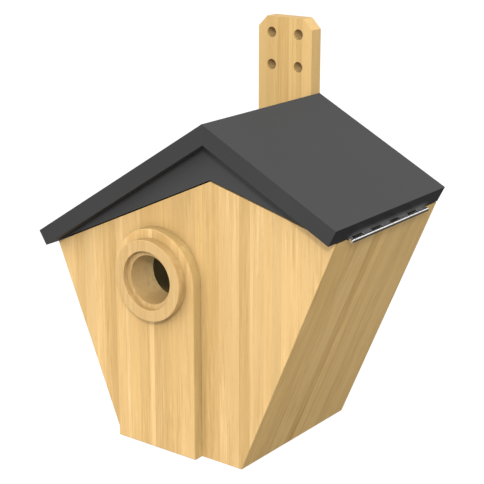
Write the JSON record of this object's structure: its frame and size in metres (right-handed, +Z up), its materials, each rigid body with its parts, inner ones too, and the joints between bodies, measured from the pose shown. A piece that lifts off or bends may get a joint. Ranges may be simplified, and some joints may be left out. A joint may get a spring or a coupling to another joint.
{
  "type": "birdhouse",
  "caption": "Wooden birdhouse with outward-leaning walls, a lopsided grey hinged lid, a round ringed entrance on an arched board, and a drilled mounting strip behind.",
  "frame": {"origin": "middle of the bounding box in X and Y, at the underside", "axes": "+Z up; the front with the entrance looks along -Y; the mounting strip's back face looks along +Y; the lid's hinge is at the +X eave and runs along Y"},
  "size_m": [0.2348, 0.1396, 0.2677],
  "materials": {
    "pine": "bare sanded softwood, edge-glued strips",
    "ring_wood": "bare turned wood",
    "beech": "bare dowel",
    "grey_paint": "matt dark grey paint on wood",
    "steel": "zinc-plated"
  },
  "bodies": {
    "house": {"front_panel": "pine", "back_panel": "pine", "left_wall": "pine", "right_wall": "pine", "floor_board": "pine", "floor_dowels": "beech", "entrance_board": "pine", "entrance_ring": "ring_wood", "entrance_screws": "steel", "mounting_strip": "pine", "strip_screws": "steel", "hinge_wall_leaf": "steel", "hinge_pin": "steel", "hinge_wall_screws": "steel"},
    "lid": {"roof_left_board": "grey_paint", "roof_right_board": "grey_paint", "roof_dowels": "beech", "front_gable": "grey_paint", "back_gable": "grey_paint", "hinge_lid_leaf": "steel", "hinge_lid_screws": "steel"}
  },
  "joints": [
    {"name": "lid_hinge", "type": "hinge", "parent": "house", "child": "lid", "pos_m": [0.11432, 0.00085, 0.16027], "axis": [0, 1, 0], "range_deg": [0, 195]}
  ]
}
